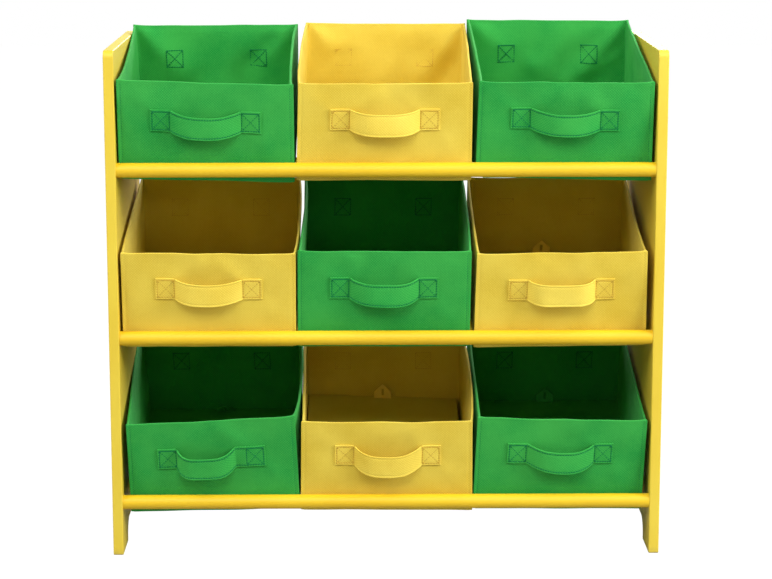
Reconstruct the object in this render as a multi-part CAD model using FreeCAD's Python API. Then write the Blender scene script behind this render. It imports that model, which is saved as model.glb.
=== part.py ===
import FreeCAD, Part
import math
import os

# A free-standing rack for a child's room. Two painted side panels joined by round rails carry
# nine open fabric bins, three to a tier, tipped forward so that a child can see into them.
# Lengths are millimetres and angles are degrees. The front faces -Y, +X is to the right seen
# from the front, +Z is up and the floor is Z = 0. The origin is the middle of the footprint.

# Rack
rack_width = 650.0
rack_height = 600.0
panel_thickness = 12.0
panel_depth = 300.0
panel_corner_radius = 8.0
panel_edge_radius = 1.2

# Notch under each panel that leaves a front foot and a rear foot
foot_length = 60.0
notch_height = 25.0
notch_corner_radius = 20.0
toe_radius = 2.0

# Rails: one stop rail in front of the bins and two support rails under them on each tier
rail_diameter = 17.0
stop_rail_setback = 0.5
lowest_stop_rail_height = 63.0
top_stop_rail_drop = 139.0
front_support_reach = 90.0
rear_support_inset = 32.0

# Countersunk screws that hold each rail end to its panel
screw_length = 45.0
screw_shank_diameter = 4.5
screw_head_diameter = 8.5
screw_tip_length = 6.0
screw_head_recess = 0.3
screw_play = 0.1
pilot_spare_depth = 2.0

# Bins, measured in the bin's own frame before it is tipped, and the room they leave free
bins_spare_width = 26.0
bin_spare_depth = 30.0
bin_height = 120.0
bin_tilt = 10.0
bin_front_drop = 14.0
bin_corner_radius = 6.0
bin_rim_radius = 1.2
bin_gap_shares = (0.12, 0.33, 0.38, 0.17)

# Sewn wall: cover cloth outside, a pocket with a board in it, and lining cloth inside
cloth_thickness = 0.8
wall_board_thickness = 1.4
board_play = 0.1
rim_hem = 6.0
corner_seam = 8.0
lining_gap = 2.0

# Removable base board, wedged between the front and rear walls with its rear edge high
base_board_thickness = 3.0
base_board_lean = 3.6
base_board_play = 0.8
base_board_corner_radius = 4.0

# Pull tab on the base board's rear edge
tab_width = 20.0
tab_side_height = 11.0
tab_peak_height = 19.0
tab_thickness = 1.0
tab_edge_distance = 2.0
tab_slit_width = 2.5
tab_slit_height = 9.0
tab_slit_foot = 4.0

# Handle strap, one on the front wall and one on the rear wall
handle_length = 124.0
handle_patch = 22.0
strap_width = 25.0
strap_thickness = 1.8
strap_bow = 16.0
strap_sag = 8.0
handle_drop = 33.0

# Shared clearance between a piece and its seat, and how far a cutter runs past a face
seat_clearance = 0.3
cut_overrun = 3.0

# How far a point may lie off a plane, and how far a direction may turn, and still count as on it
plane_tolerance = 0.001
parallel_share = 1e-6

tiers = ("bottom", "middle", "top")
columns = ("left", "centre", "right")

tilt_sine = math.sin(math.radians(bin_tilt))
tilt_cosine = math.cos(math.radians(bin_tilt))
rail_radius = rail_diameter / 2
inner_width = rack_width - 2 * panel_thickness
tier_pitch = (rack_height - top_stop_rail_drop - lowest_stop_rail_height) / (len(tiers) - 1)
bin_width = (inner_width - bins_spare_width) / len(columns)
bin_depth = panel_depth - bin_spare_depth
rear_support_reach = bin_depth - rear_support_inset
wall_pocket = wall_board_thickness + 2 * board_play
bin_wall = 2 * cloth_thickness + wall_pocket
handle_span = handle_length - 2 * handle_patch
strap_slump = strap_sag / strap_bow

# The bin's front lower edge, seen from the stop rail that the front wall leans on
edge_behind_stop = (rail_radius + seat_clearance + bin_front_drop * tilt_sine) / tilt_cosine
edge_behind_panel = stop_rail_setback + rail_radius + edge_behind_stop

# The front straps stand proud of the panels, so the panels sit back to centre the whole
strap_reach = strap_bow + strap_thickness
strap_top = bin_height - handle_drop - strap_slump * strap_reach
front_overhang = strap_reach * tilt_cosine + strap_top * tilt_sine - edge_behind_panel
panel_front = (front_overhang - panel_depth) / 2


def vector(x, y, z):
    return FreeCAD.Vector(x, y, z)


def block(low, high):
    size = high.sub(low)
    return Part.makeBox(size.x, size.y, size.z, low)


def edges_along(shape, axis):
    """Straight edges of a shape that run along one axis."""
    found = []
    for edge in shape.Edges:
        run = edge.Vertexes[-1].Point.sub(edge.Vertexes[0].Point)
        if run.Length > 0 and run.cross(axis).Length < run.Length * parallel_share:
            found.append(edge)
    return found


def edges_in_plane(shape, axis, offset):
    """Edges that lie in the plane at one offset along an axis."""
    found = []
    for edge in shape.Edges:
        points = [vertex.Point for vertex in edge.Vertexes] + [edge.CenterOfMass]
        if all(abs(point.dot(axis) - offset) < plane_tolerance for point in points):
            found.append(edge)
    return found


def stop_rail_axis(tier):
    """Place of a stop rail's axis as seen from the side, on the panel's front edge."""
    height = lowest_stop_rail_height + tier * tier_pitch
    return vector(0, panel_front + stop_rail_setback + rail_radius, height)


def bin_edge(tier):
    """The front lower edge of a tier's bins."""
    stop = stop_rail_axis(tier)
    return stop.add(vector(0, edge_behind_stop, -bin_front_drop))


def support_rail_axis(tier, reach):
    """A rail tangent to the tipped base, at a distance along the base from its front edge."""
    drop = rail_radius + seat_clearance
    along = vector(0, tilt_cosine, tilt_sine).multiply(reach)
    below = vector(0, tilt_sine, -tilt_cosine).multiply(drop)
    return bin_edge(tier).add(along).add(below)


def rail_axes(tier):
    return {
        "front_rail": stop_rail_axis(tier),
        "front_support_rail": support_rail_axis(tier, front_support_reach),
        "rear_support_rail": support_rail_axis(tier, rear_support_reach),
    }


def bin_middle_x(column):
    """Bins stand a little unevenly, with the spare width shared out between them."""
    left = sum(bin_gap_shares[:column + 1]) * bins_spare_width + column * bin_width
    return left + bin_width / 2 - inner_width / 2


def bin_place(tier, column):
    edge = bin_edge(tier)
    corner = vector(bin_middle_x(column), edge.y, edge.z)
    return FreeCAD.Placement(corner, FreeCAD.Rotation(vector(1, 0, 0), bin_tilt))


def screw():
    """A countersunk screw turned about +X, with its head's face at the origin."""
    head_radius = screw_head_diameter / 2
    shank_radius = screw_shank_diameter / 2
    outline = [
        vector(0, 0, 0),
        vector(0, head_radius, 0),
        vector(head_radius - shank_radius, shank_radius, 0),
        vector(screw_length - screw_tip_length, shank_radius, 0),
        vector(screw_length, 0, 0),
    ]
    face = Part.Face(Part.makePolygon(outline + outline[:1]))
    return face.revolve(vector(0, 0, 0), vector(1, 0, 0), 360)


def screw_hole(axis_point):
    """The countersunk hole through the left panel for one screw."""
    shank_radius = screw_shank_diameter / 2 + screw_play
    head_radius = screw_head_diameter / 2 + screw_play
    outer_face = -rack_width / 2
    cone_start = outer_face + screw_head_recess - screw_play
    cone_depth = head_radius - shank_radius
    outline = [
        vector(outer_face - cut_overrun, 0, 0),
        vector(outer_face - cut_overrun, head_radius, 0),
        vector(cone_start, head_radius, 0),
        vector(cone_start + cone_depth, shank_radius, 0),
        vector(outer_face + panel_thickness + cut_overrun, shank_radius, 0),
        vector(outer_face + panel_thickness + cut_overrun, 0, 0),
    ]
    face = Part.Face(Part.makePolygon(outline + outline[:1]))
    hole = face.revolve(vector(0, 0, 0), vector(1, 0, 0), 360)
    hole.translate(axis_point)
    return hole


def left_side_panel():
    """A board with rounded corners, a notch between its feet and every edge eased."""
    outer = -rack_width / 2
    inner = outer + panel_thickness
    rear = panel_front + panel_depth
    board = block(vector(outer, panel_front, 0), vector(inner, rear, rack_height))
    across = vector(1, 0, 0)
    top_edges = [e for e in edges_along(board, across) if e.CenterOfMass.z > rack_height / 2]
    board = board.makeFillet(panel_corner_radius, top_edges)

    notch_low = vector(outer - cut_overrun, panel_front + foot_length, -notch_height)
    notch_high = vector(inner + cut_overrun, rear - foot_length, notch_height)
    notch = block(notch_low, notch_high)
    roof_edges = [e for e in edges_along(notch, across) if e.CenterOfMass.z > 0]
    board = board.cut(notch.makeFillet(notch_corner_radius, roof_edges))

    toe_edges = [e for e in edges_along(board, across) if e.CenterOfMass.z < toe_radius]
    board = board.makeFillet(toe_radius, toe_edges)
    rims = edges_in_plane(board, across, outer) + edges_in_plane(board, across, inner)
    board = board.makeFillet(panel_edge_radius, rims)

    for tier in range(len(tiers)):
        for axis_point in rail_axes(tier).values():
            board = board.cut(screw_hole(axis_point))
    return board


def rail(axis_point):
    """A dowel butted between the panels, with a pilot hole for a screw in each end."""
    half = inner_width / 2
    along = vector(1, 0, 0)
    dowel = Part.makeCylinder(rail_radius, inner_width, vector(-half, 0, 0), along)
    pilot_radius = screw_shank_diameter / 2 + screw_play
    pilot_depth = screw_head_recess + screw_length - panel_thickness + pilot_spare_depth
    pilot = Part.makeCylinder(pilot_radius, pilot_depth + cut_overrun,
                              vector(-half - cut_overrun, 0, 0), along)
    dowel = dowel.cut(pilot).cut(mirrored_left_to_right(pilot))
    dowel.translate(axis_point)
    return dowel


def mirrored_left_to_right(shape):
    return shape.mirror(vector(0, 0, 0), vector(1, 0, 0))


def panel_screws():
    solids = []
    for tier in range(len(tiers)):
        for axis_point in rail_axes(tier).values():
            one = screw()
            one.translate(axis_point.add(vector(screw_head_recess - rack_width / 2, 0, 0)))
            solids.append(one)
            solids.append(mirrored_left_to_right(one))
    return Part.makeCompound(solids)


def wall_layer(offset, thickness, low, high, margin):
    """Four upright slabs, one in each wall, at one depth in from the bin's outer faces."""
    half = bin_width / 2
    front = block(vector(margin - half, offset, low),
                  vector(half - margin, offset + thickness, high))
    left = block(vector(offset - half, margin, low),
                 vector(offset + thickness - half, bin_depth - margin, high))
    rear = front.mirror(vector(0, bin_depth / 2, 0), vector(0, 1, 0))
    return [front, rear, left, mirrored_left_to_right(left)]


def bin_cover():
    """The sewn cover: double walls that hold the boards, a cloth base and an open top."""
    half = bin_width / 2
    upright = vector(0, 0, 1)
    outside = block(vector(-half, 0, 0), vector(half, bin_depth, bin_height))
    outside = outside.makeFillet(bin_corner_radius, edges_along(outside, upright))
    hollow = block(vector(bin_wall - half, bin_wall, cloth_thickness),
                   vector(half - bin_wall, bin_depth - bin_wall, bin_height + cut_overrun))
    hollow = hollow.makeFillet(bin_corner_radius - bin_wall, edges_along(hollow, upright))
    cover = outside.cut(hollow)
    cover = cover.makeFillet(bin_rim_radius, edges_in_plane(cover, upright, bin_height))

    base = cloth_thickness
    pocket_top = bin_height - rim_hem
    for pocket in wall_layer(cloth_thickness, wall_pocket, base, pocket_top, corner_seam):
        cover = cover.cut(pocket)
    for mouth in wall_layer(cloth_thickness, bin_wall, base, base + lining_gap, corner_seam):
        cover = cover.cut(mouth)
    return cover


def bin_wall_boards():
    """Stiffening boards, each a little smaller all round than its pocket."""
    inset = cloth_thickness + board_play
    top = bin_height - rim_hem - board_play
    margin = corner_seam + board_play
    return Part.makeCompound(wall_layer(inset, wall_board_thickness, inset, top, margin))


def base_board_frame():
    """Where the base board's front lower edge lies in the bin, and how it leans."""
    lean = math.radians(base_board_lean)
    front = bin_wall + base_board_play + base_board_thickness * math.sin(lean)
    height = cloth_thickness + seat_clearance
    turn = FreeCAD.Rotation(vector(1, 0, 0), base_board_lean)
    return FreeCAD.Placement(vector(0, front, height), turn)


def base_board_length():
    front = base_board_frame().Base.y
    run = bin_depth - bin_wall - base_board_play - front
    return run / math.cos(math.radians(base_board_lean))


def bin_base_board():
    half = bin_width / 2 - bin_wall - base_board_play
    board = block(vector(-half, 0, 0), vector(half, base_board_length(), base_board_thickness))
    board = board.makeFillet(base_board_corner_radius, edges_along(board, vector(0, 0, 1)))
    board.Placement = base_board_frame()
    return board


def bin_pull_tab():
    """A house-shaped tab with a slit, standing on the base board close to its rear edge."""
    half = tab_width / 2
    rear = base_board_length() - tab_edge_distance
    foot = base_board_thickness
    outline = [
        vector(-half, rear, foot),
        vector(half, rear, foot),
        vector(half, rear, foot + tab_side_height),
        vector(0, rear, foot + tab_peak_height),
        vector(-half, rear, foot + tab_side_height),
    ]
    face = Part.Face(Part.makePolygon(outline + outline[:1]))
    tab = face.extrude(vector(0, -tab_thickness, 0))
    slit_low = vector(-tab_slit_width / 2, rear - tab_thickness - cut_overrun,
                      foot + tab_slit_foot)
    slit_high = vector(tab_slit_width / 2, rear + cut_overrun,
                       foot + tab_slit_foot + tab_slit_height)
    tab = tab.cut(block(slit_low, slit_high))
    tab.Placement = base_board_frame()
    return tab


def handle_strap(wall, outward):
    """A strap flat on the wall at both ends, bowed out and sagging between its patches."""
    foot = bin_height - handle_drop - strap_width

    def point(x, stand):
        return vector(x, wall + outward * stand, foot - strap_slump * stand)

    end = handle_length / 2
    bend = handle_span / 2
    skin = strap_thickness
    edges = [
        Part.makeLine(point(-end, 0), point(-bend, 0)),
        Part.Arc(point(-bend, 0), point(0, strap_bow), point(bend, 0)).toShape(),
        Part.makeLine(point(bend, 0), point(end, 0)),
        Part.makeLine(point(end, 0), point(end, skin)),
        Part.makeLine(point(end, skin), point(bend, skin)),
        Part.Arc(point(bend, skin), point(0, strap_reach), point(-bend, skin)).toShape(),
        Part.makeLine(point(-bend, skin), point(-end, skin)),
        Part.makeLine(point(-end, skin), point(-end, 0)),
    ]
    return Part.Face(Part.Wire(edges)).extrude(vector(0, 0, strap_width))


def bin_handles():
    return Part.makeCompound([handle_strap(0, -1), handle_strap(bin_depth, 1)])


def rack_pieces():
    panel = left_side_panel()
    pieces = {
        "left_side_panel": panel,
        "right_side_panel": mirrored_left_to_right(panel),
        "panel_screws": panel_screws(),
    }
    for tier, tier_name in enumerate(tiers):
        for rail_name, axis_point in rail_axes(tier).items():
            pieces[f"{tier_name}_{rail_name}"] = rail(axis_point)
    return pieces


def bin_pieces():
    """One set of bin parts, copied to the nine places in the rack."""
    patterns = {
        "cover": bin_cover(),
        "wall_boards": bin_wall_boards(),
        "base_board": bin_base_board(),
        "pull_tab": bin_pull_tab(),
        "handles": bin_handles(),
    }
    pieces = {}
    for tier, tier_name in enumerate(tiers):
        for column, column_name in enumerate(columns):
            place = bin_place(tier, column)
            for part_name, pattern in patterns.items():
                placed = pattern.copy()
                placed.Placement = place.multiply(pattern.Placement)
                pieces[f"{tier_name}_{column_name}_bin_{part_name}"] = placed
    return pieces


pieces = rack_pieces()
pieces.update(bin_pieces())
os.makedirs("parts", exist_ok=True)
for node, shape in pieces.items():
    shape.exportStep(f"parts/{node}.step")
whole = Part.makeCompound(list(pieces.values())).optimalBoundingBox(False, False)
print(f"{len(pieces)} nodes, {whole.XLength:.1f} x {whole.YLength:.1f} x {whole.ZLength:.1f} mm")
print(f"Y from {whole.YMin:.2f} to {whole.YMax:.2f}, Z from {whole.ZMin:.2f} to {whole.ZMax:.2f}")
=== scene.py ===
# %% [markdown]
# # A toy rack with nine fabric bins
# Two painted side panels and nine round rails carry nine soft bins in green and yellow. The
# CAD model gives every size and place. This lesson dresses it: the panels and rails keep their
# CAD shape and get paint, and everything that is sewn from cloth is modelled here.

# %% Load the CAD frame
import math

import bmesh
import bpy
from mathutils import Matrix, Vector, noise


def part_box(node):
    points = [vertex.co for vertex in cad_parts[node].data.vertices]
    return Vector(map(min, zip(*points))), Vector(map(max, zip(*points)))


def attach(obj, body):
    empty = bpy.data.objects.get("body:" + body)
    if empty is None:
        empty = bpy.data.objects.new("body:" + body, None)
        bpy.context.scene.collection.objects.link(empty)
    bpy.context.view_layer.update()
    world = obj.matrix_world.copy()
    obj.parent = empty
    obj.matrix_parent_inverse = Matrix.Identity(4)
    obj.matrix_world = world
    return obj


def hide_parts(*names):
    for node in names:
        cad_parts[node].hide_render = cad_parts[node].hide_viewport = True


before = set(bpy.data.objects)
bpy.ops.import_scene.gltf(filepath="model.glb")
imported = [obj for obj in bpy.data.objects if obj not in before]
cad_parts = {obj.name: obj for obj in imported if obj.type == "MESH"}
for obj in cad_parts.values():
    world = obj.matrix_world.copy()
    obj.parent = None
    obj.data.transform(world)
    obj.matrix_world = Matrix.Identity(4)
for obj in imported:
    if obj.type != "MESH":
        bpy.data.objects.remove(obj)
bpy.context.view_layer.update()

# %% [markdown]
# ## Camera
# The photograph was taken from 0.83 m up and nearly three metres away, so upright edges stay
# nearly parallel. The camera stands at that very place, because then each bin hides the same
# parts of its neighbours. It is pitched down and not shifted, so that it also serves when it is
# swung round to the sides and the back.

# %% Camera
camera_place = Vector((-0.0357, -2.8504, 0.8331))
camera_yaw = 0.0130
camera_pitch = 0.1869
camera_lens = 110.0

bpy.ops.object.camera_add(location=camera_place)
camera = bpy.context.object
camera.name = "camera"
camera.rotation_euler = (math.pi / 2 - camera_pitch, 0, -camera_yaw)
camera.data.lens = camera_lens
bpy.context.scene.camera = camera
print("camera", round(camera_place.length, 2), "m from the rack's origin")

# %% [markdown]
# ## Hands for the work
# Modelling by hand is always the same three moves: pick one object, choose some of its parts in
# edit mode, and finish it with a modifier. Each move gets one small function, so that the cells
# below read like a list of what a modeller does.

# %% Pick, choose and finish
mm = 0.001


def pick(piece):
    """Deselect everything and make one object the active one."""
    bpy.ops.object.select_all(action="DESELECT")
    piece.select_set(True)
    bpy.context.view_layer.objects.active = piece


def choose(piece, kind, test):
    """In edit mode, select the vertices, edges or faces that pass a test."""
    bpy.ops.mesh.select_mode(type=kind)
    bpy.ops.mesh.select_all(action="DESELECT")
    mesh = bmesh.from_edit_mesh(piece.data)
    parts = {"VERT": mesh.verts, "EDGE": mesh.edges, "FACE": mesh.faces}[kind]
    for part in parts:
        if test(part):
            part.select_set(True)
    bmesh.update_edit_mesh(piece.data)


def finish_with(piece, kind, **settings):
    """Add one modifier with its settings and apply it."""
    pick(piece)
    modifier = piece.modifiers.new(kind.title(), kind)
    for name, value in settings.items():
        setattr(modifier, name, value)
    bpy.ops.object.modifier_apply(modifier=modifier.name)


def copy_of(piece, name):
    """A copy with a mesh of its own."""
    pick(piece)
    bpy.ops.object.duplicate(linked=False)
    twin = bpy.context.object
    twin.name = name
    twin.data.name = name
    return twin


def smooth(share):
    """An S-curve from 0 to 1 that is flat at both ends."""
    share = min(1.0, max(0.0, share))
    return share * share * (3 - 2 * share)


# %% [markdown]
# ## Materials
# A colour picked from a picture is an sRGB value, and Blender calculates with linear light, so
# one function turns hex values to linear colours. A second small function adds a node with its
# settings and links. Every finish below is built from those two.

# %% Colour and node helpers
def linear(hex_colour):
    """An sRGB hex colour as the linear colour that Blender works with."""
    values = [int(hex_colour[i:i + 2], 16) / 255 for i in (1, 3, 5)]
    channels = [c / 12.92 if c <= 0.04045 else ((c + 0.055) / 1.055) ** 2.4 for c in values]
    return (*channels, 1.0)


def add_node(tree, kind, settings=None, values=None, links=None):
    """Add a node, then set its properties, its socket values and what feeds its sockets."""
    made = tree.nodes.new(kind)
    for name, value in (settings or {}).items():
        setattr(made, name, value)
    for socket, value in (values or {}).items():
        made.inputs[socket].default_value = value
    for socket, source in (links or {}).items():
        tree.links.new(source, made.inputs[socket])
    return made


def new_material(name):
    """A material, its node tree, its Principled shader and its Object coordinates."""
    made = bpy.data.materials.new(name)
    made.use_nodes = True
    tree = made.node_tree
    place = add_node(tree, "ShaderNodeTexCoord").outputs["Object"]
    return made, tree, tree.nodes["Principled BSDF"], place


# %% [markdown]
# ### Satin yellow paint
# The panels are MDF and the rails are beech dowels, sprayed with satin polyurethane paint.
# Sprayed paint has a faint orange peel, ripples about 3 mm long that break up reflections, and
# its film is a little uneven in tone over a hand's width. The feet pick up grey scuffs from
# the floor.

# %% Paint material
def satin_paint(name, deep, light):
    made, tree, shader, place = new_material(name)
    film = add_node(tree, "ShaderNodeTexNoise", values={"Scale": 1 / (140 * mm), "Detail": 2},
                    links={"Vector": place})
    tone = add_node(tree, "ShaderNodeValToRGB", links={"Fac": film.outputs["Fac"]})
    tone.color_ramp.elements[0].position = 0.35
    tone.color_ramp.elements[0].color = linear(deep)
    tone.color_ramp.elements[1].position = 0.65
    tone.color_ramp.elements[1].color = linear(light)

    height = add_node(tree, "ShaderNodeSeparateXYZ", links={"Vector": place})
    near_floor = add_node(tree, "ShaderNodeMapRange",
                          values={"From Min": 9 * mm, "From Max": 1 * mm, "To Max": 0.5},
                          links={"Value": height.outputs["Z"]})
    rub = add_node(tree, "ShaderNodeTexNoise", values={"Scale": 1 / (5 * mm), "Detail": 5},
                   links={"Vector": place})
    scuff = add_node(tree, "ShaderNodeMath", {"operation": "MULTIPLY"},
                     links={0: near_floor.outputs["Result"], 1: rub.outputs["Fac"]})
    colour = add_node(tree, "ShaderNodeMix", {"data_type": "RGBA"},
                      values={"B": linear("#8E8257")},
                      links={"Factor": scuff.outputs["Value"], "A": tone.outputs["Color"]})
    tree.links.new(colour.outputs["Result"], shader.inputs["Base Color"])

    peel = add_node(tree, "ShaderNodeTexNoise", values={"Scale": 1 / (3 * mm), "Detail": 2},
                    links={"Vector": place})
    gloss = add_node(tree, "ShaderNodeMapRange",
                     values={"To Min": 0.48, "To Max": 0.56},
                     links={"Value": film.outputs["Fac"]})
    tree.links.new(gloss.outputs["Result"], shader.inputs["Roughness"])
    bump = add_node(tree, "ShaderNodeBump", values={"Strength": 0.03, "Distance": 0.2 * mm},
                    links={"Height": peel.outputs["Fac"]})
    tree.links.new(bump.outputs["Normal"], shader.inputs["Normal"])
    shader.inputs["IOR"].default_value = 1.46
    shader.inputs["Coat Weight"].default_value = 0.12
    shader.inputs["Coat Roughness"].default_value = 0.45
    return made


# The board paint is mixed paler, with more blue, than the dowel paint. That is painted sheen: it
# stands in for the whitish reflection on the panels' faces.
panel_paint = satin_paint("satin_paint_on_board_with_painted_sheen", "#DEC034", "#E4CA40")
rail_paint = satin_paint("satin_paint_on_dowel", "#E4B810", "#EAC218")

# %% [markdown]
# ### Non-woven cloth
# Such bins are sewn from spun-bonded polypropylene, a felt of fine fibres that heated rollers
# press together in a lattice of small diamonds. The real lattice is about 1 mm apart, too fine
# for this picture, so it is drawn at 2.2 mm. The cloth follows the walls, so the pattern reads
# a UV map measured in metres. The fibres give a matt face with a soft sheen at its edges.

# %% Cloth material
lattice_step = 2.2 * mm
wave_period = 0.314     # how far apart the bands of a Wave texture lie at a scale of 1


def nonwoven_cloth(name, deep, light, fuzz):
    made, tree, shader, place = new_material(name)
    flat = add_node(tree, "ShaderNodeUVMap", {"uv_map": "cloth"}).outputs["UV"]
    lattice = []
    for turn in (45, -45):
        ruled = add_node(tree, "ShaderNodeMapping",
                         values={"Rotation": (0, 0, math.radians(turn))}, links={"Vector": flat})
        bands = add_node(tree, "ShaderNodeTexWave", {"wave_type": "BANDS"},
                         values={"Scale": wave_period / lattice_step, "Distortion": 0.6,
                                 "Detail": 1, "Detail Scale": 1 / (20 * mm)},
                         links={"Vector": ruled.outputs["Vector"]})
        lattice.append(bands.outputs["Fac"])
    dimple = add_node(tree, "ShaderNodeMath", {"operation": "MULTIPLY"},
                      links={0: lattice[0], 1: lattice[1]})
    fibre = add_node(tree, "ShaderNodeTexNoise",
                     values={"Scale": 1 / (1.6 * mm), "Detail": 4, "Roughness": 0.7},
                     links={"Vector": place})
    cloud = add_node(tree, "ShaderNodeTexNoise", values={"Scale": 1 / (55 * mm), "Detail": 3},
                     links={"Vector": place})
    mottle = add_node(tree, "ShaderNodeMix", {"data_type": "FLOAT"}, values={"Factor": 0.35},
                      links={"A": cloud.outputs["Fac"], "B": fibre.outputs["Fac"]})
    pressed = add_node(tree, "ShaderNodeMath", {"operation": "MULTIPLY_ADD"},
                       values={1: 0.3}, links={0: dimple.outputs["Value"],
                                                2: mottle.outputs["Result"]})
    tone = add_node(tree, "ShaderNodeValToRGB", links={"Fac": pressed.outputs["Value"]})
    tone.color_ramp.elements[0].position = 0.36
    tone.color_ramp.elements[0].color = linear(deep)
    tone.color_ramp.elements[1].position = 0.7
    tone.color_ramp.elements[1].color = linear(light)
    tree.links.new(tone.outputs["Color"], shader.inputs["Base Color"])

    relief = add_node(tree, "ShaderNodeMath", {"operation": "ADD"},
                      links={0: dimple.outputs["Value"], 1: fibre.outputs["Fac"]})
    bump = add_node(tree, "ShaderNodeBump", values={"Strength": 0.32, "Distance": 0.3 * mm},
                    links={"Height": relief.outputs["Value"]})
    tree.links.new(bump.outputs["Normal"], shader.inputs["Normal"])
    shader.inputs["Roughness"].default_value = 0.85
    shader.inputs["Specular IOR Level"].default_value = 0.18
    shader.inputs["Sheen Weight"].default_value = 0.22
    shader.inputs["Sheen Roughness"].default_value = 0.4
    shader.inputs["Sheen Tint"].default_value = linear(fuzz)
    return made


cloths = {
    "green": nonwoven_cloth("green_nonwoven_cloth", "#1A8E3A", "#3CA646", "#74CC78"),
    "yellow": nonwoven_cloth("yellow_nonwoven_cloth", "#D0B236", "#E2CA50", "#F0D66C"),
}
# The yellow straps get a lighter copy of the yellow cloth. That is painted light, so that they
# read brighter than the walls behind them; the green straps use the green cloth itself.
strap_cloths = {
    "green": cloths["green"],
    "yellow": nonwoven_cloth("yellow_strap_cloth_painted_lighter", "#D8B83C", "#EAD258", "#F0D66C"),
}
# The pull tabs get lighter copies of the cloth. That is painted light, so that a tab reads
# brighter than the shaded rear wall it stands against.
tab_cloths = {
    "green": nonwoven_cloth("green_tab_cloth_painted_light", "#38A04C", "#54B85C", "#74CC78"),
    "yellow": nonwoven_cloth("yellow_tab_cloth_painted_light", "#F0CC58", "#F8DC6C", "#F0D66C"),
}

# %% [markdown]
# ### Sewing thread
# The seams are sewn with spun polyester thread, a two-ply twist: a darker, cooler green on the
# green cloth and a warm straw on the yellow. The twist repeats every 0.6 mm and shows as a slight
# roughness, a fine bump; its hollows also get painted shade, the colour there darkened to 0.6 of
# the thread's own.

# %% Thread material
def spun_thread(name, colour):
    made, tree, shader, place = new_material(name)
    twist = add_node(tree, "ShaderNodeTexNoise", values={"Scale": 1 / (0.6 * mm), "Detail": 2},
                     links={"Vector": place})
    tone = add_node(tree, "ShaderNodeValToRGB", links={"Fac": twist.outputs["Fac"]})
    # Painted shade: where the twist noise is low the colour drops to 0.6 of the thread's own, the
    # shade in the twist's hollows.
    tone.color_ramp.elements[0].color = tuple(0.6 * c for c in linear(colour)[:3]) + (1,)
    tone.color_ramp.elements[1].color = linear(colour)
    tree.links.new(tone.outputs["Color"], shader.inputs["Base Color"])
    bump = add_node(tree, "ShaderNodeBump", values={"Strength": 0.4, "Distance": 0.1 * mm},
                    links={"Height": twist.outputs["Fac"]})
    tree.links.new(bump.outputs["Normal"], shader.inputs["Normal"])
    shader.inputs["Roughness"].default_value = 0.7
    shader.inputs["Specular IOR Level"].default_value = 0.2
    return made


threads = {
    "green": spun_thread("green_polyester_thread", "#008044"),
    "yellow": spun_thread("straw_polyester_thread", "#DEB640"),
}

# %% [markdown]
# ### Zinc-plated steel
# The screws are steel with a thin bright zinc plating. Barrel plating leaves it faintly mottled,
# so its roughness wanders a little over half a millimetre.

# %% Screw material
def zinc_plated_steel():
    made, tree, shader, place = new_material("zinc_plated_steel")
    mottle = add_node(tree, "ShaderNodeTexNoise", values={"Scale": 1 / (0.5 * mm), "Detail": 3},
                      links={"Vector": place})
    rough = add_node(tree, "ShaderNodeMapRange", values={"To Min": 0.22, "To Max": 0.42},
                     links={"Value": mottle.outputs["Fac"]})
    tree.links.new(rough.outputs["Result"], shader.inputs["Roughness"])
    shader.inputs["Base Color"].default_value = linear("#C3C4C2")
    shader.inputs["Metallic"].default_value = 1.0
    return made


zinc = zinc_plated_steel()
print("made", len(bpy.data.materials), "materials, the last of them", zinc.name)

# %% [markdown]
# ## Panels, rails and screws
# These are rigid and their CAD shape is right, so they stay as they are and only their material
# slots change.

# %% Paint the rack
def dress(node, finish):
    """Give a CAD node one material in all its slots."""
    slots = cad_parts[node].data.materials
    slots.clear()
    slots.append(finish)


tiers = ("bottom", "middle", "top")
for panel in ("left_side_panel", "right_side_panel"):
    dress(panel, panel_paint)
for tier in tiers:
    for rail in ("front_rail", "front_support_rail", "rear_support_rail"):
        dress(f"{tier}_{rail}", rail_paint)
dress("panel_screws", zinc)
print("the rack has its finishes")

# %% [markdown]
# ## One bin's own frame
# A bin is easiest to think of upright and square, in millimetres: x across it, v back from its
# front wall and w up from its base. The CAD cover says where that frame lies in the rack, and
# the frame is tipped by a fixed 10 degrees, so nothing is placed by eye.

# %% Sizes and frame of a bin
bin_width, bin_depth, bin_height = 200, 270, 120
bin_tilt = math.radians(10)
wall_thickness = 3.2
rim_thickness = 2.6
half_width = bin_width / 2


def bin_frame(name):
    """From a bin's own millimetres to metres in the rack."""
    low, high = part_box(f"{name}_bin_cover")
    behind = bin_depth * mm * math.cos(bin_tilt)
    edge = Vector(((low.x + high.x) / 2, high.y - behind, low.z))
    return (Matrix.Translation(edge) @ Matrix.Rotation(bin_tilt, 4, "X")
            @ Matrix.Scale(mm, 4))


def settle(piece, place, finish):
    """Move a piece from its own millimetres into the rack, smooth it and give it its finish."""
    piece.data.transform(place)
    pick(piece)
    bpy.ops.object.shade_smooth()
    piece.data.materials.append(finish)


# %% [markdown]
# ### How each bin differs
# Nine sewn bins never hang alike. The table holds what the photograph shows of each one, in
# millimetres: how far the front lifts or droops over its stop rail, how far the rim has moved
# up and to the right at its corners, how far the foot of each side wall has spread, how far the
# side walls swell out and their rims bow in, how its strap sags, leans, fills out and how much
# of it stands free, how far right and up its two patches and the rear strap are sewn, and how
# high the rear edge of its base board lies. The rest is noise with the bin's own seed.

# %% What each bin looks like
traits = ("colour", "seed", "droop", "rim_up", "rim_right", "foot_right", "belly", "bow", "strap",
          "patches", "rear_up", "board_up")


def bin_look(*values):
    """Pairs run left to right. A rim has its front pair first, patches their shift right."""
    return dict(zip(traits, values, strict=True))


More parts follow.
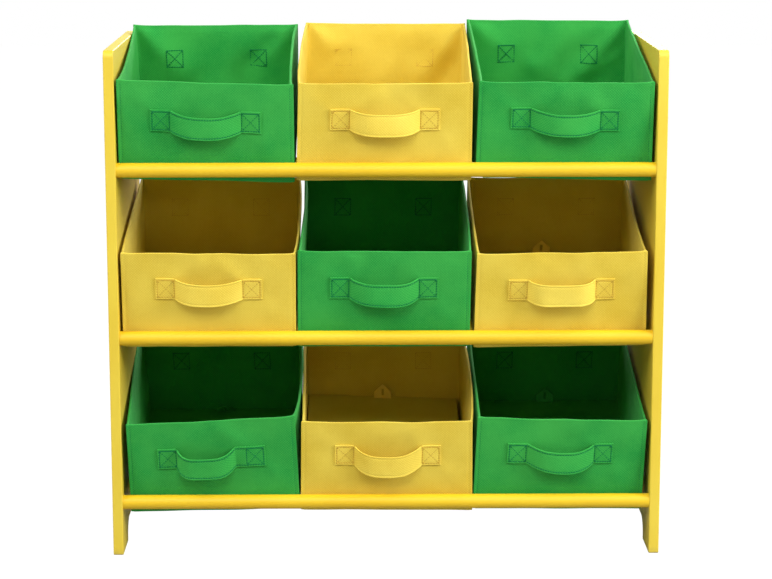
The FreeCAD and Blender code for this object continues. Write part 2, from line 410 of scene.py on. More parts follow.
looks = {
    "top_left": bin_look(
        "green", 1, (2.2, -3.4), (-0.9, -1.6, -3.0, -2.1), (0.5, 2.2, -4.0, 2.1), (0, 2.3),
        (0.5, 0.6), (2.4, 3.5), (5.0, 0.02, 2.6, 1), (0, 0, -1, -1), 2.5, (0, 0)),
    "top_centre": bin_look(
        "yellow", 2, (-1.0, -1.0), (-2.6, -2.0, -0.2, -1.5), (0.8, 0, 4.2, 3.2), (-2.4, -0.3),
        (0.4, 2.4), (-3.5, -1.0), (3.4, 0.0, 3.4, 1), (0, 0, 2.0, 1.6), 2.5, (0, 0)),
    "top_right": bin_look(
        "green", 3, (3.2, -2.1), (-4.6, -0.7, 3.8, 2.5), (-1.2, -0.4, -4.2, -1.1), (-3.6, 0),
        (2.4, 0.5), (2.0, 0.5), (4.0, 0.02, 2.4, 1), (0.5, -1.4, 1.2, 0.2), 5, (0, 0)),
    "middle_left": bin_look(
        "yellow", 4, (0.5, 0.5), (-1.8, -3.6, 3, 3), (1.3, 3.1, 2.5, 3.6), (0.8, 2.8),
        (0.5, 1.3), (-1, -4.6), (3.5, 0.06, 2.6, 1), (1.8, -1.5, 1.0, 1.2), 9, (0, 0)),
    "middle_centre": bin_look(
        "green", 5, (0.5, 0.0), (-0.1, -0.4, 3, 3), (-1.3, -0.1, 1.2, 1.5), (-2.1, -1.2),
        (0.0, 1.6), (2.0, -2), (5.0, 0.0, 3.4, 1), (0, -0.6, 0.9, 1.0), 9, (0, 0)),
    "middle_right": bin_look(
        "yellow", 6, (-1.5, 1.0), (-2.2, -1.7, 3, 3), (-2.0, -4.8, -1.8, -1.0), (-4.5, -2.4),
        (1.2, 0.5), (-1.5, 1), (2.8, -0.03, 5.0, 1), (0.8, -0.8, -0.3, -0.3), 9, (4, 4)),
    "bottom_left": bin_look(
        "green", 7, (-2.7, 1.6), (-5.4, 0.4, 3, 3), (3.4, 0.6, -2.5, 1.5), (5.9, 6.2),
        (0.5, 1.8), (-2, -8), (8.5, 0.05, 4.0, 0.84), (-2.0, 0, -2.4, -2.6), 7.5, (-4, -4)),
    "bottom_centre": bin_look(
        "yellow", 8, (-0.5, -2.0), (-4.8, -3.2, 3, 3), (1.7, 1.9, -0.8, 0.8), (0.0, 3.5),
        (1.5, 2.0), (0, -6), (10.0, 0.05, 2.8, 1), (2.3, 0.5, 1.7, 1.4), 7, (17, 10)),
    "bottom_right": bin_look(
        "green", 9, (0.5, -0.8), (-0.8, -3.9, 3, 3), (0.1, -0.9, -0.5, 0.5), (-4.3, -4.0),
        (2.0, 0.5), (0, 1), (7.0, -0.05, 2.6, 1), (0, -1.0, 1.0, 1.6), 7.5, (7, 8)),
}


# %% [markdown]
# ### The way sewn cloth gives
# Everything on a bin moves with its cloth: walls, strap, stitches. So the slackness is one
# function of a place in the bin's frame, and each piece made for the square bin is passed
# through it. It rounds nothing and adds no thickness; it only says how far each place has
# drooped, swelled or leaned.

# %% Slackness of a bin
def bumps(look, a, b, size, salt):
    """Smooth noise between about -1 and 1 over a wall, with lumps of one size."""
    return noise.noise(Vector((a / size, b / size, look["seed"] * 7.3 + salt)))


def part_way(pair, share):
    """A value part of the way from the first of a pair to the second."""
    return pair[0] * (1 - share) + pair[1] * share


def across_and_back(four, right, back):
    """A value in between those at the front left, front right, rear left and rear right."""
    return part_way((part_way(four[:2], right), part_way(four[2:], right)), back)


def crease(a, b, start, end, width, height):
    """A soft ridge along a line on a wall: 0 away from it, height on it, fading at its ends."""
    run = Vector((end[0] - start[0], end[1] - start[1]))
    rel = Vector((a - start[0], b - start[1]))
    t = max(0.0, min(1.0, rel.dot(run) / run.length_squared))
    off = (rel - run * t).length / (width * (0.5 + t))
    return height * math.exp(-off * off) * smooth(4 * (1 - t) + 0.1)


# Ridges that run out from the stitched patches: where each starts and ends on the right half of
# the front wall, and how far it may stand out. Chance moves its end and weakens it.
patch_ridges = [((38, 88), (14, 116), 1.5), ((62, 88), (86, 112), 1.3), ((64, 58), (86, 26), 1.3),
                ((40, 60), (18, 26), 1.2)]
ridge_width, ridge_stray = 9, 14
for look in looks.values():
    look["ridges"] = []
    for hand in (-1, 1):
        for salt, (start, end, height) in enumerate(patch_ridges, 40):
            chance = 2 * bumps(look, 40 * hand, 0, 9, salt)
            look["ridges"].append(((hand * start[0], start[1]),
                                   (hand * end[0] + ridge_stray * chance, end[1]),
                                   ridge_width, height * min(1.0, 0.25 + abs(chance))))

# How far the walls stand out, in millimetres: a belly, then lumps and wrinkles of these sizes.
front_belly, front_lumps, front_wrinkles = 0.7, 2.4, 1.0
rear_belly, rear_lumps, side_lumps = -1.2, 1.4, 0.7
lump_size, wrinkle_size, side_lump_size = 60, 26, 80
wall_reach = 60     # how far from a wall its own swelling is still felt

# The base hangs through between the two support rails, and again behind the rear one. These
# are places in millimetres back from the front; the droop of the front ends at the first rail.
rail_gap, behind_rail, droop_reach = (100, 228), 246, 84
base_sag, tail_sag = 3.0, 1.2
foot_waves, foot_wave_size = 0.8, 50

# The rim waves, sags along the sides and stands up a little at its sewn corners.
rim_waves, rim_wave_size, rim_sag = 0.8, 45, 0.5
corner_lift, corner_reach = 1.0, 7


def slack(look, x, v, w):
    """How far the cloth at a place has moved, in the bin's own millimetres."""
    side = x / half_width
    back = v / bin_depth
    up = min(1.0, max(0.0, w / bin_height))
    right = (side + 1) / 2
    near_front = smooth(1 - v / wall_reach)
    near_rear = smooth(1 - (bin_depth - v) / wall_reach)
    near_left = smooth(1 - (x + half_width) / wall_reach)
    near_right = smooth(1 - (half_width - x) / wall_reach)
    belly = math.sin(math.pi * min(1.0, 0.12 + 0.88 * up))
    free_across = max(0.0, 1 - side * side)
    free_along = max(0.0, 1 - (2 * back - 1) ** 2)

    front = (front_belly * belly + front_lumps * bumps(look, x, w, lump_size, 1)
             + front_wrinkles * bumps(look, x, w, wrinkle_size, 2))
    if near_front > 0:
        front += sum(crease(x, w, *ridge) for ridge in look["ridges"])
    front *= free_across ** 0.5 * smooth(2.5 * up)
    rear = rear_belly * belly + rear_lumps * bumps(look, x, w, lump_size, 3)
    rear *= free_across ** 0.5
    sides = []
    for hand in (0, 1):
        swell = look["belly"][hand] * (1 - up * up) - look["bow"][hand] * up * up
        sides.append(swell + side_lumps * bumps(look, v, w, side_lump_size, 4 + hand))
    lean = across_and_back(look["rim_right"], right, smooth(back))
    spread = part_way(look["foot_right"], right)
    dx = (free_along ** 0.6 * (near_right * sides[1] - near_left * sides[0])
          + up * lean + (1 - up) * spread * (1 - 0.15 * back))
    dv = near_rear * rear - near_front * front

    droop = part_way(look["droop"], right)
    droop += foot_waves * bumps(look, x, 0, foot_wave_size, 6) * (1 - up)
    dw = droop * smooth(1 - v / droop_reach)
    dw += up ** 1.5 * across_and_back(look["rim_up"], right, smooth(back))
    dw += up ** 3 * (rim_waves * bumps(look, x + v, v - x, rim_wave_size, 7)
                     - rim_sag * free_along * max(near_left, near_right))
    to_corner = math.hypot(abs(x) - half_width, min(v, bin_depth - v))
    dw += corner_lift * up ** 12 * math.exp(-(to_corner / corner_reach) ** 2)
    between = smooth(min(v - rail_gap[0], rail_gap[1] - v) / 30)
    behind = smooth((v - behind_rail) / 20)
    dw -= (1 - up) ** 6 * free_across * (base_sag * between + tail_sag * behind)
    return Vector((dx, dv, dw))


def hang(look, x, v, w):
    """Where a place on the square bin ends up on the slack one."""
    return Vector((x, v, w)) + slack(look, x, v, w)


# %% [markdown]
# ## The bin's sewn shell
# The cover is one tall tray of cloth. It could be a box with its top taken off, but a box has
# one face a side and cloth needs many. So it starts as a grid for the base, whose rim is
# extruded upwards in steps: that gives even squares that can swell, droop and fold. The lines
# stand close together at corners and rim, where the form turns tightly.

# %% The flat net of the shell
def grid_lines(low, high, edge_steps, step):
    """Places of grid lines from one end to the other, closer together at both ends."""
    first, last = low + edge_steps[-1], high - edge_steps[-1]
    count = round((last - first) / step)
    middle = [first + (last - first) * i / count for i in range(1, count)]
    return ([low + s for s in edge_steps] + middle + [high - s for s in reversed(edge_steps)])


corner_steps = (0, 1.3, 2.6, 3.6, 4.8, 8)
lines_x = grid_lines(-half_width, half_width, corner_steps, 6.5)
lines_v = grid_lines(0, bin_depth, corner_steps, 7.5)
lines_w = [1.3, 2.8, 5, 9] + [15 + 6.5 * i for i in range(15)] + [112, 115.5, 118, 119.2,
                                                                 bin_height]


def lay_grid(name, across, along):
    """A grid primitive whose lines are then moved to the places that are given."""
    bpy.ops.object.select_all(action="DESELECT")
    bpy.ops.mesh.primitive_grid_add(x_subdivisions=len(across) - 1,
                                    y_subdivisions=len(along) - 1, size=2)
    grid = bpy.context.object
    grid.name = name
    for point in grid.data.vertices:
        i = round((point.co.x + 1) / 2 * (len(across) - 1))
        j = round((point.co.y + 1) / 2 * (len(along) - 1))
        point.co = (across[i], along[j], 0)
    return grid


def shell_net():
    net = lay_grid("bin_net", lines_x, lines_v)
    pick(net)
    bpy.ops.object.mode_set(mode="EDIT")
    choose(net, "EDGE", lambda edge: edge.is_boundary)
    height = 0
    for line in lines_w:
        bpy.ops.mesh.extrude_region_move(TRANSFORM_OT_translate={"value": (0, 0, line - height)})
        height = line
    bpy.ops.mesh.select_all(action="SELECT")
    bpy.ops.mesh.normals_make_consistent(inside=False)
    bpy.ops.object.mode_set(mode="OBJECT")

    cloth = net.data.uv_layers.new(name="cloth")
    for face in net.data.polygons:
        along_x = abs(face.normal.x) > 0.5
        lies_flat = abs(face.normal.z) > 0.5
        for corner in face.loop_indices:
            x, v, w = net.data.vertices[net.data.loops[corner].vertex_index].co
            place = (x, v) if lies_flat else ((v, w) if along_x else (x, w))
            cloth.data[corner].uv = (place[0] * mm, place[1] * mm)
    return net


net = shell_net()
print("the net has", len(net.data.polygons), "squares")

# %% [markdown]
# ### Corners, fins and seams
# The upright corners are sewn from outside, through both walls, so each ends in a narrow fin:
# a flat band about 2.6 mm wide with a row of stitches behind it. Rounding the corner and
# pressing a groove along the stitch row gives that band its two sides.

# %% Round the corners and press the seams
corner_radius = 3.4
seam_inset = 3.6
groove_depth, groove_width = 0.55, 0.9


def rounded(x, v, w):
    """Push a place on the square box onto one with rounded corners and a rounded foot."""
    core = Vector((max(-half_width + corner_radius, min(half_width - corner_radius, x)),
                   max(corner_radius, min(bin_depth - corner_radius, v)),
                   max(w, corner_radius)))
    out = Vector((x, v, w)) - core
    if out.length < 1e-6:
        return Vector((x, v, w))
    return core + out.normalized() * corner_radius


def seam_groove(x, v, w):
    """How deep the stitches pull the cloth in, on the four walls next to each corner."""
    pull = Vector((0, 0, 0))
    if w < 1:
        return pull
    beside_x = math.exp(-((half_width - abs(x) - seam_inset) / groove_width) ** 2)
    beside_v = math.exp(-((min(v, bin_depth - v) - seam_inset) / groove_width) ** 2)
    if v < 0.01:
        pull.y += groove_depth * beside_x
    elif v > bin_depth - 0.01:
        pull.y -= groove_depth * beside_x
    elif abs(x) > half_width - 0.01:
        pull.x -= math.copysign(groove_depth * beside_v, x)
    return pull


fin_reach = 1.3
fin_wide, fin_deep = 3, 1.6     # how far the fin takes to fade, across the bin and back


def fin(x, v, w):
    """How far the seam's edge stands out, past the corner's rounding and to the side."""
    beside_x, beside_v = half_width - abs(x), min(v, bin_depth - v)
    if min(beside_x, beside_v) > 0.01 or w < 1:
        return Vector((0, 0, 0))
    share = math.exp(-(beside_x / fin_wide) ** 2 - (beside_v / fin_deep) ** 2)
    reach = fin_reach if v < bin_depth / 2 else 0.5 * fin_reach
    sharp = Vector((x, v, w)) - rounded(x, v, w)
    return share * (sharp + Vector((math.copysign(reach, x), 0, 0)))


# %% [markdown]
# ### Two walls and a lining
# Each wall is cloth outside, a board, and cloth inside, 3.2 mm in all, which Solidify gives.
# Above the board only a turned hem is left, so the wall thins to 2.6 mm at its rim. The lining
# is not glued to the board: it hangs in soft folds from the corners and puckers around the
# boxed crosses that hold the rear strap.

# %% Folds of the lining
hem = 12
lining_lumps, lining_wrinkles = 0.9, 0.35
cross_middle = (51, 74.5)     # a boxed cross of the rear strap, from the wall's middle and foot
pucker_depth, pucker_spread = 1.2, 190
# How far from the base, the rim, the seams and the rear seams it takes a lining to come free
off_base, off_rim, off_seam, off_rear_seam = 12, 9, 14, 22

# Each fold of a rear lining: where it starts and ends, its width and how far it stands in.
rear_creases = {
    "top_left": [((-96, 116), (-30, 46), 16, 4.5), ((96, 112), (44, 66), 12, 4.0),
                 ((70, 100), (10, 36), 14, -3.0), ((-10, 34), (30, 38), 26, 5.0)],
    "top_centre": [((-96, 116), (-56, 80), 12, 4.0), ((96, 116), (36, 40), 13, 5.0),
                   ((98, 84), (60, 24), 12, -3.5), ((-20, 34), (20, 42), 30, 3.5)],
    "top_right": [((97, 116), (8, 24), 11, 6.0), ((92, 80), (40, 52), 9, 3.0),
                  ((-96, 112), (-40, 76), 14, 4.0), ((-16, 64), (12, 58), 24, 4.0)],
}


def lining_fold(look, name, face, a, b):
    """How far the lining stands in from its board, on one wall."""
    stand = lining_lumps * (0.5 + bumps(look, a, b, 38, 11 + face))
    stand += lining_wrinkles * bumps(look, a, b, 15, 17 + face)
    if face == 1:
        for start, end, width, height in rear_creases.get(name, ()):
            stand += crease(a, b, start, end, width, height)
        for cross in (-cross_middle[0], cross_middle[0]):
            sewn = cross_middle[1] + look["rear_up"]
            apart = (a - cross) ** 2 + (b - sewn) ** 2
            stand -= pucker_depth * math.exp(-apart / pucker_spread)
    return stand


def lining_stand(look, name, x, v, w):
    """The same at a place in the bin, held down to nothing at the seams, base and rim."""
    loose = smooth(w / off_base) * smooth((bin_height - w) / off_rim)
    beside = half_width - abs(x)
    if v < 0.01:
        return loose * smooth(beside / off_seam) * lining_fold(look, name, 0, x, w)
    if v > bin_depth - 0.01:
        return loose * smooth(beside / off_rear_seam) * lining_fold(look, name, 1, x, w)
    loose *= smooth(min(v, bin_depth - v) / off_seam)
    return loose * lining_fold(look, name, 2 + (x > 0), v, w)


# %% Sew the nine shells
def sew_shell(name, look):
    shell = copy_of(net, f"{name}_bin_shell")
    plain = [tuple(point.co) for point in shell.data.vertices]
    for point, place in zip(shell.data.vertices, plain):
        point.co = rounded(*place) + seam_groove(*place) + slack(look, *place)
    finish_with(shell, "SOLIDIFY", thickness=wall_thickness, offset=-1, use_even_offset=True,
                use_rim=True)

    count = len(plain)
    points = shell.data.vertices
    for outer, (x, v, w) in enumerate(plain):
        inner = points[outer + count]
        thin = smooth((w - bin_height + hem) / hem) * (1 - rim_thickness / wall_thickness)
        inner.co = inner.co.lerp(points[outer].co, thin)
        inset = min(half_width - abs(x), v, bin_depth - v)
        if w < 2 or inset > 0.01:
            continue
        stand = lining_stand(look, name, x, v, w)
        if v < 0.01:
            inner.co.y += stand
        elif v > bin_depth - 0.01:
            inner.co.y -= stand
        else:
            inner.co.x -= math.copysign(stand, x)
    for outer, place in enumerate(plain):
        points[outer].co += fin(*place)
    finish_with(shell, "SUBSURF", levels=1, render_levels=1)
    settle(shell, bin_frame(name), cloths[look["colour"]])
    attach(shell, f"{name}_bin")
    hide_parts(f"{name}_bin_cover", f"{name}_bin_wall_boards")
    return shell


for name, look in looks.items():
    shell = sew_shell(name, look)
print("each shell has", len(shell.data.polygons), "faces")
bpy.data.objects.remove(net)

# %% [markdown]
# ## Handle straps
# A handle is a strip of the same cloth, folded to 26.5 mm, laid flat at both ends and stitched
# down in a box with a cross; on the yellow bins it is drawn in a lighter copy of the cloth, which
# is painted light. Between the ends it stands off the wall in a bow and hangs under its own
# weight. It is a grid bent along that line and then thickened; simulation would only blur its
# crisp edges.

# %% Line of the strap
handle_end, handle_bend = 63.5, 39.5
patch_middle = (handle_end + handle_bend) / 2
strap_foot, strap_width, strap_thickness = 61.2, 26.5, 1.8
strap_bow, strap_twist = 15, 0.22


def on_wall(look, wall, x, rise):
    """Where a place on the strap lies on its wall: how far across and how high."""
    if wall == "rear":
        return x, strap_foot + rise + look["rear_up"]
    right = min(1.0, max(0.0, (x / patch_middle + 1) / 2))
    left_x, right_x, left_up, right_up = look["patches"]
    return (x + left_x * (1 - right) + right_x * right,
            strap_foot + rise + left_up * (1 - right) + right_up * right)


def strap_line(look, x):
    """How far the strap stands off the wall and how far it hangs, at a place across."""
    sag, skew, fullness, loose = look["strap"]
    share = (x / handle_bend + 1) / 2 / loose
    if not 0 < share < 1:
        return 0.0, 0.0
    share = share ** (1 - 2 * skew)
    swing = 1 - abs(2 * share - 1) ** fullness
    return strap_bow * swing, sag * swing


def strap_point(look, wall, x, rise, lift):
    """A place on the strap: across, up its width, and out from its inner face."""
    stand, drop = strap_line(look, x)
    ahead, _ = strap_line(look, x + 0.5)
    behind, _ = strap_line(look, x - 0.5)
    slope = math.atan(ahead - behind)
    lean = strap_twist * stand * (0.5 - rise / strap_width)
    out = stand + lean + lift * math.cos(slope)
    sewn_x, w = on_wall(look, wall, x, rise)
    across = sewn_x - lift * math.sin(slope)
    if wall == "front":
        return hang(look, across, 0, w) + Vector((0, -out, -drop))
    return hang(look, across, bin_depth, w) + Vector((0, out, -drop))


# Grid lines over one half of the strap, closest together where it bends off the wall
half_strap = [1.8, 5.4, 9, 12.5, 16, 19.3, 22.4, 25.3, 28, 30.4, 32.5, 34.3, 35.8, 37, 38, 38.8,
              39.5, 40.2, 41.1, 42, 45, 48, 51, 54, 57, 60, 61.3, 62.3, 63, 63.5]
strap_x = [-x for x in reversed(half_strap)] + half_strap
strap_rise = [0, 0.7, 1.6, 2.5, 3.4, 6, 9.5, 13.25, 17, 20.5, 23.1, 24, 24.9, 25.8, 26.5]


# %% [markdown]
# The rows of stitches press a shallow groove along both edges, and the boxed cross pinches
# the ends flat.

# %% Make the straps
row_inset = 2.5
press_depth, press_width = 0.45, 0.8


def map_flat(piece, cloth):
    """Write each corner's place on the flat piece into its UV map, in metres."""
    for loop, corner in zip(piece.data.loops, cloth.data):
        x, y, _ = piece.data.vertices[loop.vertex_index].co
        corner.uv = (x * mm, y * mm)


def stitch_press(x, rise):
    """How deep the stitches pull the strap's face in."""
    def press(distance):
        return press_depth * math.exp(-(distance / press_width) ** 2)

    depth = press(min(rise, strap_width - rise) - row_inset)
    if abs(x) > handle_bend:
        for line in (handle_bend + 1.6, handle_end - 2.2):
            depth = max(depth, press(abs(x) - line))
    return depth


def make_strap(name, look, wall):
    strap = lay_grid(f"{name}_bin_{wall}_strap", strap_x, strap_rise)
    map_flat(strap, strap.data.uv_layers.new(name="cloth"))
    for point in strap.data.vertices:
        x, rise, _ = point.co
        lift = strap_thickness - stitch_press(x, rise)
        point.co = strap_point(look, wall, x, rise, lift)
    if wall == "rear":
        pick(strap)
        bpy.ops.object.mode_set(mode="EDIT")
        bpy.ops.mesh.select_all(action="SELECT")
        bpy.ops.mesh.flip_normals()
        bpy.ops.object.mode_set(mode="OBJECT")
    finish_with(strap, "SOLIDIFY", thickness=strap_thickness, offset=-1, use_rim=True)
    finish_with(strap, "SUBSURF", levels=1, render_levels=1)
    settle(strap, bin_frame(name), strap_cloths[look["colour"]])
    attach(strap, f"{name}_bin")
    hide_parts(f"{name}_bin_handles")
    return strap


for name, look in looks.items():
    for wall in ("front", "rear"):
        strap = make_strap(name, look, wall)
print("each strap has", len(strap.data.polygons), "faces")

# %% [markdown]
# ## Stitches
# A seam is the same stitch many hundred times over, so one stitch is modelled, a sphere of few
# faces drawn out to 2.8 mm, and laid along each seam line. Real thread is about half a
# millimetre thick, too fine for this picture, so a stitch is drawn 1.4 mm wide. All rows of a
# bin go into one mesh, because thousands of objects would be slow and would gain nothing.

# %% One stitch, and rows of it
stitch_length, stitch_width, stitch_height = 2.8, 1.4, 0.8
stitch_pitch = 3.1


def one_stitch():
    bpy.ops.object.select_all(action="DESELECT")
    bpy.ops.mesh.primitive_uv_sphere_add(segments=6, ring_count=4, radius=0.5,
                                         rotation=(0, math.pi / 2, 0))
    stitch = bpy.context.object
    bpy.ops.object.transform_apply(location=True, rotation=True, scale=True)
    stitch.data.transform(Matrix.Diagonal((stitch_length, stitch_width, stitch_height, 1)))
    return stitch


def stitch_row(mesh, stitch, line, outward, size=1.0):
    """Lay stitches one behind the other along a line of points."""
    walked, due = 0.0, stitch_pitch / 2
    for start, end in zip(line, line[1:]):
        run = (end - start).length
        while walked + run > due:
            share = (due - walked) / run
            along = (end - start).normalized()
            side = outward.cross(along).normalized()
            turn = Matrix((along, side, along.cross(side))).transposed().to_4x4()
            place = Matrix.Translation(start.lerp(end, share)) @ turn @ Matrix.Scale(size, 4)
            first = len(mesh.verts)
            mesh.from_mesh(stitch.data)
            mesh.verts.ensure_lookup_table()
            bmesh.ops.transform(mesh, matrix=place, verts=mesh.verts[first:])
            due += stitch_pitch
        walked += run


def box_and_cross(low, high, foot, top):
    """The path of a needle round a box and over both of its diagonals."""
    return [(low, foot), (high, foot), (high, top), (low, top), (low, foot), (high, top),
            (low, top), (high, foot)]


def divide(path, step=2.0):
    """The same path with points close together, so that it can follow bent cloth."""
    points = [path[0]]
    for start, end in zip(path, path[1:]):
        count = max(1, round(math.dist(start, end) / step))
        points += [tuple(s + (e - s) * i / count for s, e in zip(start, end))
                   for i in range(1, count + 1)]
    return points


# %% [markdown]
# The rows are: a box and cross on each strap end, one row along both edges of the green
# straps, the same boxes showing through on the inside of the walls, and on the green bins a
# finer row beside each upright corner. On the yellow ones it sinks from sight.

# %% Stitch the nine bins
cross_low, cross_high = handle_bend + 1.8, handle_end - 2.4
cross_foot, cross_top = 2.6, strap_width - 2.6
on_strap = strap_thickness - 0.15     # stitches lie a little sunk in the cloth
in_seam, seam_stitch = 0.3, 0.55     # deeper and smaller beside the corners
on_lining = {"green": wall_thickness + 0.25, "yellow": wall_thickness - 0.2}
seam_heights = [4 + 2.3 * i for i in range(50)]


def sew_seams(name, look, stitch):
    mesh = bmesh.new()
    cross = divide(box_and_cross(cross_low, cross_high, cross_foot, cross_top))
    for wall, outward, v in (("front", Vector((0, -1, 0)), 0),
                             ("rear", Vector((0, 1, 0)), bin_depth)):
        for hand in (-1, 1):
            line = [strap_point(look, wall, hand * x, rise, on_strap) for x, rise in cross]
            stitch_row(mesh, stitch, line, outward)
            inside = []
            for x, rise in cross:
                across, w = on_wall(look, wall, hand * x, rise)
                depth = on_lining[look["colour"]] + lining_stand(look, name, across, v, w)
                inside.append(hang(look, across, v, w) - outward * depth)
            stitch_row(mesh, stitch, inside, -outward)
        if look["colour"] == "green":
            for rise in (row_inset, strap_width - row_inset):
                path = divide([(-handle_bend, rise), (handle_bend, rise)])
                line = [strap_point(look, wall, x, r, on_strap) for x, r in path]
                stitch_row(mesh, stitch, line, outward)
            for x in (seam_inset - half_width, half_width - seam_inset):
                line = [hang(look, x, v, w) - outward * in_seam for w in seam_heights]
                stitch_row(mesh, stitch, line, outward, size=seam_stitch)
    rows = bpy.data.meshes.new(f"{name}_bin_stitching")
    mesh.to_mesh(rows)
    mesh.free()
    stitching = bpy.data.objects.new(rows.name, rows)
    bpy.context.scene.collection.objects.link(stitching)
    settle(stitching, bin_frame(name), threads[look["colour"]])
    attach(stitching, f"{name}_bin")
    return stitching


stitch = one_stitch()
for name, look in looks.items():
    stitching = sew_seams(name, look, stitch)
print("the stitching of one bin has", len(stitching.data.polygons), "faces")
bpy.data.objects.remove(stitch)

# %% [markdown]
# ## Base boards and pull tabs
# A board wrapped in the same cloth lies in each bin, wedged between the walls with its rear
# edge high. A house-shaped tab with a slit stands on that edge, to pull the board out by. The
# board is a thickened grid whose lines stand close together at its edges, so that one
# subdivision turns them round where the cloth wraps them.

# %% Base boards
board_lean = math.radians(3.6)
board_front, board_rise = 4.188, 1.1
board_length, board_half, board_thickness = 261.4, 96, 3.0
board_play = 1.0
board_edge_steps, board_step = (0, 0.8, 2, 5), 8
board_sink, board_quilting, flat_edge = 0.25, 0.45, 12


def board_frame(name):
    """From the base board's own millimetres to metres in the rack."""
    return (bin_frame(name) @ Matrix.Translation((0, board_front, board_rise))
            @ Matrix.Rotation(board_lean, 4, "X"))


def wedged_up(look, x, y):
    """How much higher the board lies here than in the CAD, as its corners jam in the bin."""
    return part_way(look["board_up"], (x / board_half + 1) / 2) * y / board_length


def wrap_board(name, look):
    across = grid_lines(-board_half, board_half, board_edge_steps, board_step)
    along = grid_lines(board_play, board_length, board_edge_steps, board_step)
    board = lay_grid(f"{name}_base_board_wrap", across, along)
    map_flat(board, board.data.uv_layers.new(name="cloth"))
    for point in board.data.vertices:
        x, y, _ = point.co
        edge = min(board_half - abs(x), y - board_play, board_length - y)
        quilting = bumps(look, x, y, 50, 21) + 0.5 * bumps(look, x, y, 18, 22)
        point.co.z = (board_thickness - board_sink
                      + board_quilting * smooth(edge / flat_edge) * quilting)
        point.co.z += wedged_up(look, x, y)
    finish_with(board, "SOLIDIFY", thickness=board_thickness - 0.4, offset=-1, use_rim=True)
    finish_with(board, "SUBSURF", levels=1, render_levels=1)
    settle(board, board_frame(name), cloths[look["colour"]])
    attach(board, f"{name}_base_board")
    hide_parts(f"{name}_bin_base_board")
    return board


# %% [markdown]
# The tab starts as a plane, cut by two sloping bisects into a gable. More bisects cut out the
# narrow faces of its slit, which are deleted, and the cloth's thickness comes last.

# %% Pull tabs
tab_width, tab_side, tab_peak = 20, 11, 19
slit_half, slit_foot, slit_top = 1.25, 4, 13
tab_cuts_x = (-slit_half, slit_half, -5, 5)     # the slit's sides, and lines to bend along
tab_cuts_y = (slit_foot, slit_top, 8.5, tab_side)
tab_scale = 1.1     # the real tabs are a little larger than the CAD ones
tab_rear = board_length - 2
tab_root = tab_rear - 2.5
tab_thickness, tab_bevel = 0.9, 0.25
# How far a tab sits aside in millimetres and how far it has folded forward in radians
tab_hang = {"middle_left": (0, 1.2), "middle_centre": (0, 1.2), "middle_right": (-7, 0.25),
            "bottom_left": (5, 0.8)}


def in_slit(face):
    middle = face.calc_center_median()
    return abs(middle.x) < slit_half and slit_foot < middle.y < slit_top


def cut_tab(name, look):
    bpy.ops.object.select_all(action="DESELECT")
    bpy.ops.mesh.primitive_plane_add(size=1)
    tab = bpy.context.object
    tab.name = f"{name}_pull_tab_cloth"
    tab.data.transform(Matrix.Translation((0, tab_peak / 2, 0))
                       @ Matrix.Diagonal((tab_width, tab_peak, 1, 1)))
    pick(tab)
    bpy.ops.object.mode_set(mode="EDIT")
    for hand in (-1, 1):
        bpy.ops.mesh.select_all(action="SELECT")
        bpy.ops.mesh.bisect(plane_co=(0, tab_peak, 0), clear_outer=True,
                            plane_no=((tab_peak - tab_side) * hand, tab_width / 2, 0))
    for cuts, across in ((tab_cuts_x, Vector((1, 0, 0))), (tab_cuts_y, Vector((0, 1, 0)))):
        for place in cuts:
            bpy.ops.mesh.select_all(action="SELECT")
            bpy.ops.mesh.bisect(plane_co=across * place, plane_no=across)
    choose(tab, "FACE", in_slit)
    bpy.ops.mesh.delete(type="FACE")
    bpy.ops.mesh.select_all(action="SELECT")
    bpy.ops.mesh.subdivide(number_cuts=1)
    bpy.ops.object.mode_set(mode="OBJECT")
    tab.data.uv_layers.active.name = "cloth"
    map_flat(tab, tab.data.uv_layers.active)
    curl = 0.8 + 0.8 * bumps(look, 3, 5, 10, 31)
    aside, fold = tab_hang.get(name, (0, 0.0))
    for point in tab.data.vertices:
        x, y = tab_scale * point.co.x, tab_scale * point.co.y
        bent = curl * (y / tab_peak) ** 2 * (1 + 0.4 * x / 10)
        point.co = (x + aside, tab_root - y * math.sin(fold) - bent * math.cos(fold),
                    board_thickness + y * math.cos(fold) + wedged_up(look, x, tab_rear))
    finish_with(tab, "SOLIDIFY", thickness=tab_thickness, offset=1, use_rim=True)
    finish_with(tab, "BEVEL", width=tab_bevel, segments=2, limit_method="ANGLE")
    settle(tab, board_frame(name), tab_cloths[look["colour"]])
    bpy.ops.object.shade_smooth_by_angle(angle=math.radians(50))
    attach(tab, f"{name}_base_board")
    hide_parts(f"{name}_bin_pull_tab")
    return tab


for name, look in looks.items():
    board = wrap_board(name, look)
    tab = cut_tab(name, look)
print("a board has", len(board.data.polygons), "faces and its tab", len(tab.data.polygons))

# %% [markdown]
# ## Floor and light
# The photograph is a catalogue picture: white ground, no hard shadow. Soft boxes stand high in
# front and to both sides, the right one stronger, and two lamps over the top tier shine down
# into its bins, while those below stay dark under the tier above. A weak light at the camera
# fills the fronts and one behind serves the views from there. The floor and the world show
# nearly white to the camera but light the rack only a little.

# %% Floor
floor_size, floor_drop = 14, 0.5 * mm     # the drop keeps floor and feet from flickering
ground_shown = 0.88     # how much of the floor's own glow the camera sees

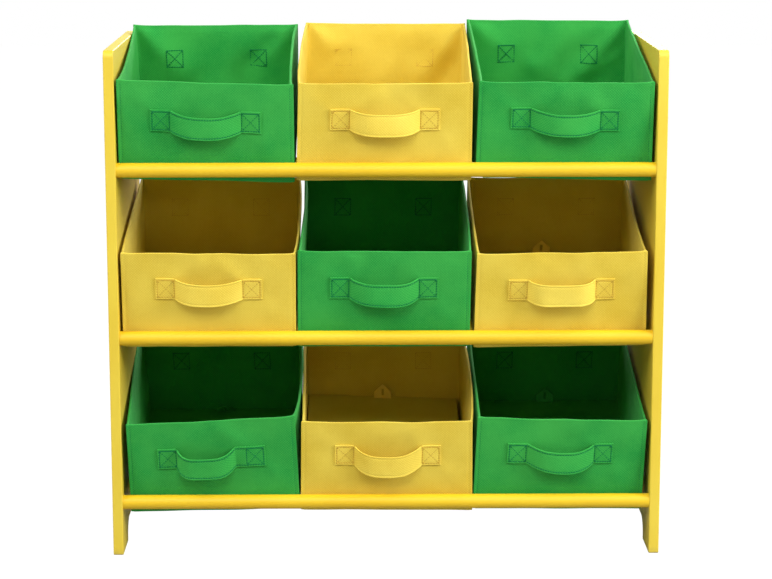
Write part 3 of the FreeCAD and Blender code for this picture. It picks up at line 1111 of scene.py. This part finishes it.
bpy.ops.object.select_all(action="DESELECT")
bpy.ops.mesh.primitive_plane_add(size=floor_size, location=(0, 0, -floor_drop))
floor = bpy.context.object
floor.name = "floor"
ground, ground_tree, ground_shader, ground_place = new_material("white_vinyl_sweep")
grain = add_node(ground_tree, "ShaderNodeTexNoise", values={"Scale": 3, "Detail": 2},
                 links={"Vector": ground_place})
ground_tone = add_node(ground_tree, "ShaderNodeValToRGB", links={"Fac": grain.outputs["Fac"]})
ground_tone.color_ramp.elements[0].color = linear("#9A9A98")
ground_tone.color_ramp.elements[1].color = linear("#A4A4A2")
ground_tree.links.new(ground_tone.outputs["Color"], ground_shader.inputs["Base Color"])
ground_shader.inputs["Roughness"].default_value = 0.7
glow = add_node(ground_tree, "ShaderNodeEmission", values={"Strength": 1.14})
seen = add_node(ground_tree, "ShaderNodeLightPath")
share = add_node(ground_tree, "ShaderNodeMath", {"operation": "MULTIPLY"},
                 values={1: ground_shown}, links={0: seen.outputs["Is Camera Ray"]})
washed = add_node(ground_tree, "ShaderNodeMixShader",
                  links={0: share.outputs["Value"], 1: ground_shader.outputs["BSDF"],
                         2: glow.outputs["Emission"]})
ground_tree.links.new(washed.outputs["Shader"],
                      ground_tree.nodes["Material Output"].inputs["Surface"])
floor.data.materials.append(ground)


# %% Lights
def soft_box(name, place, target, size, power):
    bpy.ops.object.light_add(type="AREA", location=place)
    lamp = bpy.context.object
    lamp.name = name
    lamp.data.shape = "RECTANGLE"
    lamp.data.size, lamp.data.size_y = size
    lamp.data.energy = power
    aim = Vector(target) - Vector(place)
    lamp.rotation_euler = aim.to_track_quat("-Z", "Y").to_euler()


rack_middle, top_tier = (0, 0, 0.3), (0, 0, 0.5)
soft_box("high_soft_box", (0, -2.3, 2.3), rack_middle, (2.2, 1.2), 50)
soft_box("left_soft_box", (-2.4, -1.55, 1.75), rack_middle, (1.2, 1.4), 26)
soft_box("right_soft_box", (2.5, -1.35, 1.4), rack_middle, (1.2, 1.4), 66)
soft_box("left_top_light", (-1.5, -0.5, 2.0), top_tier, (1.0, 1.0), 22)
soft_box("right_top_light", (1.5, -0.5, 2.0), top_tier, (1.0, 1.0), 20)
soft_box("front_fill", (-0.3, -3.6, 1.1), rack_middle, (2.4, 1.6), 5)
soft_box("rear_fill", (0.6, 2.8, 1.6), rack_middle, (2.0, 1.6), 85)

world = bpy.data.worlds.new("studio")
bpy.context.scene.world = world
world.use_nodes = True
sky = world.node_tree
sky.nodes.clear()
dim = add_node(sky, "ShaderNodeBackground", values={"Color": (1, 1, 1, 1), "Strength": 0.03})
white = add_node(sky, "ShaderNodeBackground", values={"Color": (1, 1, 1, 1), "Strength": 1.0})
ray = add_node(sky, "ShaderNodeLightPath")
mixed = add_node(sky, "ShaderNodeMixShader", links={0: ray.outputs["Is Camera Ray"],
                                                    1: dim.outputs["Background"],
                                                    2: white.outputs["Background"]})
add_node(sky, "ShaderNodeOutputWorld", links={"Surface": mixed.outputs["Shader"]})
bpy.context.scene.view_settings.view_transform = "Standard"
